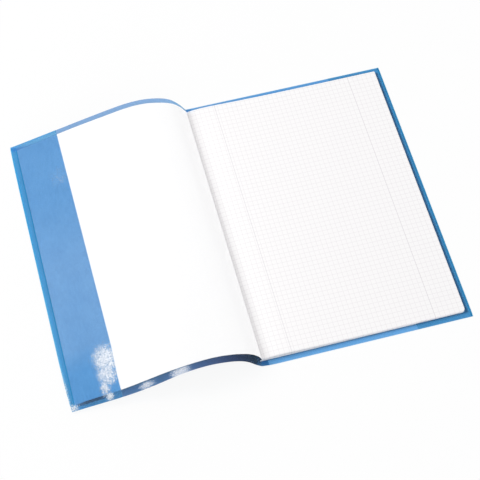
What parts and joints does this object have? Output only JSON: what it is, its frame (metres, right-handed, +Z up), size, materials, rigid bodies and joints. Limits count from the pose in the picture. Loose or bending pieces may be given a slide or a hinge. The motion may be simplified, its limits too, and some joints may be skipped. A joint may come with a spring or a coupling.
{
  "type": "exercise book, open",
  "caption": "A large stapled exercise book with squared pages, open at its first page in a translucent blue slip-on jacket with a pocket at each end",
  "frame": {"origin": "on the table under the gutter, halfway up the page", "axes": "+X right across the pages, +Y to the head of the page, +Z up"},
  "size_m": [0.4048, 0.304, 0.039],
  "materials": {
    "pages": "matt paper with a faint grey ruling of 5 mm squares",
    "cover": "thin white card",
    "film": "translucent blue film with a fine grain",
    "wire": "plain steel wire"
  },
  "bodies": {
    "pages": {"page_block": "pages", "cover_spine": "cover", "jacket_spine": "film", "staple_upper": "wire", "staple_lower": "wire"},
    "front": {"front_cover": "cover", "jacket_front": "film"},
    "back": {"back_cover": "cover", "jacket_back": "film"}
  },
  "joints": [
    {"name": "front_cover_hinge", "type": "hinge", "parent": "pages", "child": "front", "pos_m": [0, 0, 0.0044], "axis": [0, 1, 0], "range_deg": [-60, 100]},
    {"name": "back_cover_hinge", "type": "hinge", "parent": "pages", "child": "back", "pos_m": [0.00115, 0, 0], "axis": [0, 1, 0], "range_deg": [0, 110]}
  ]
}
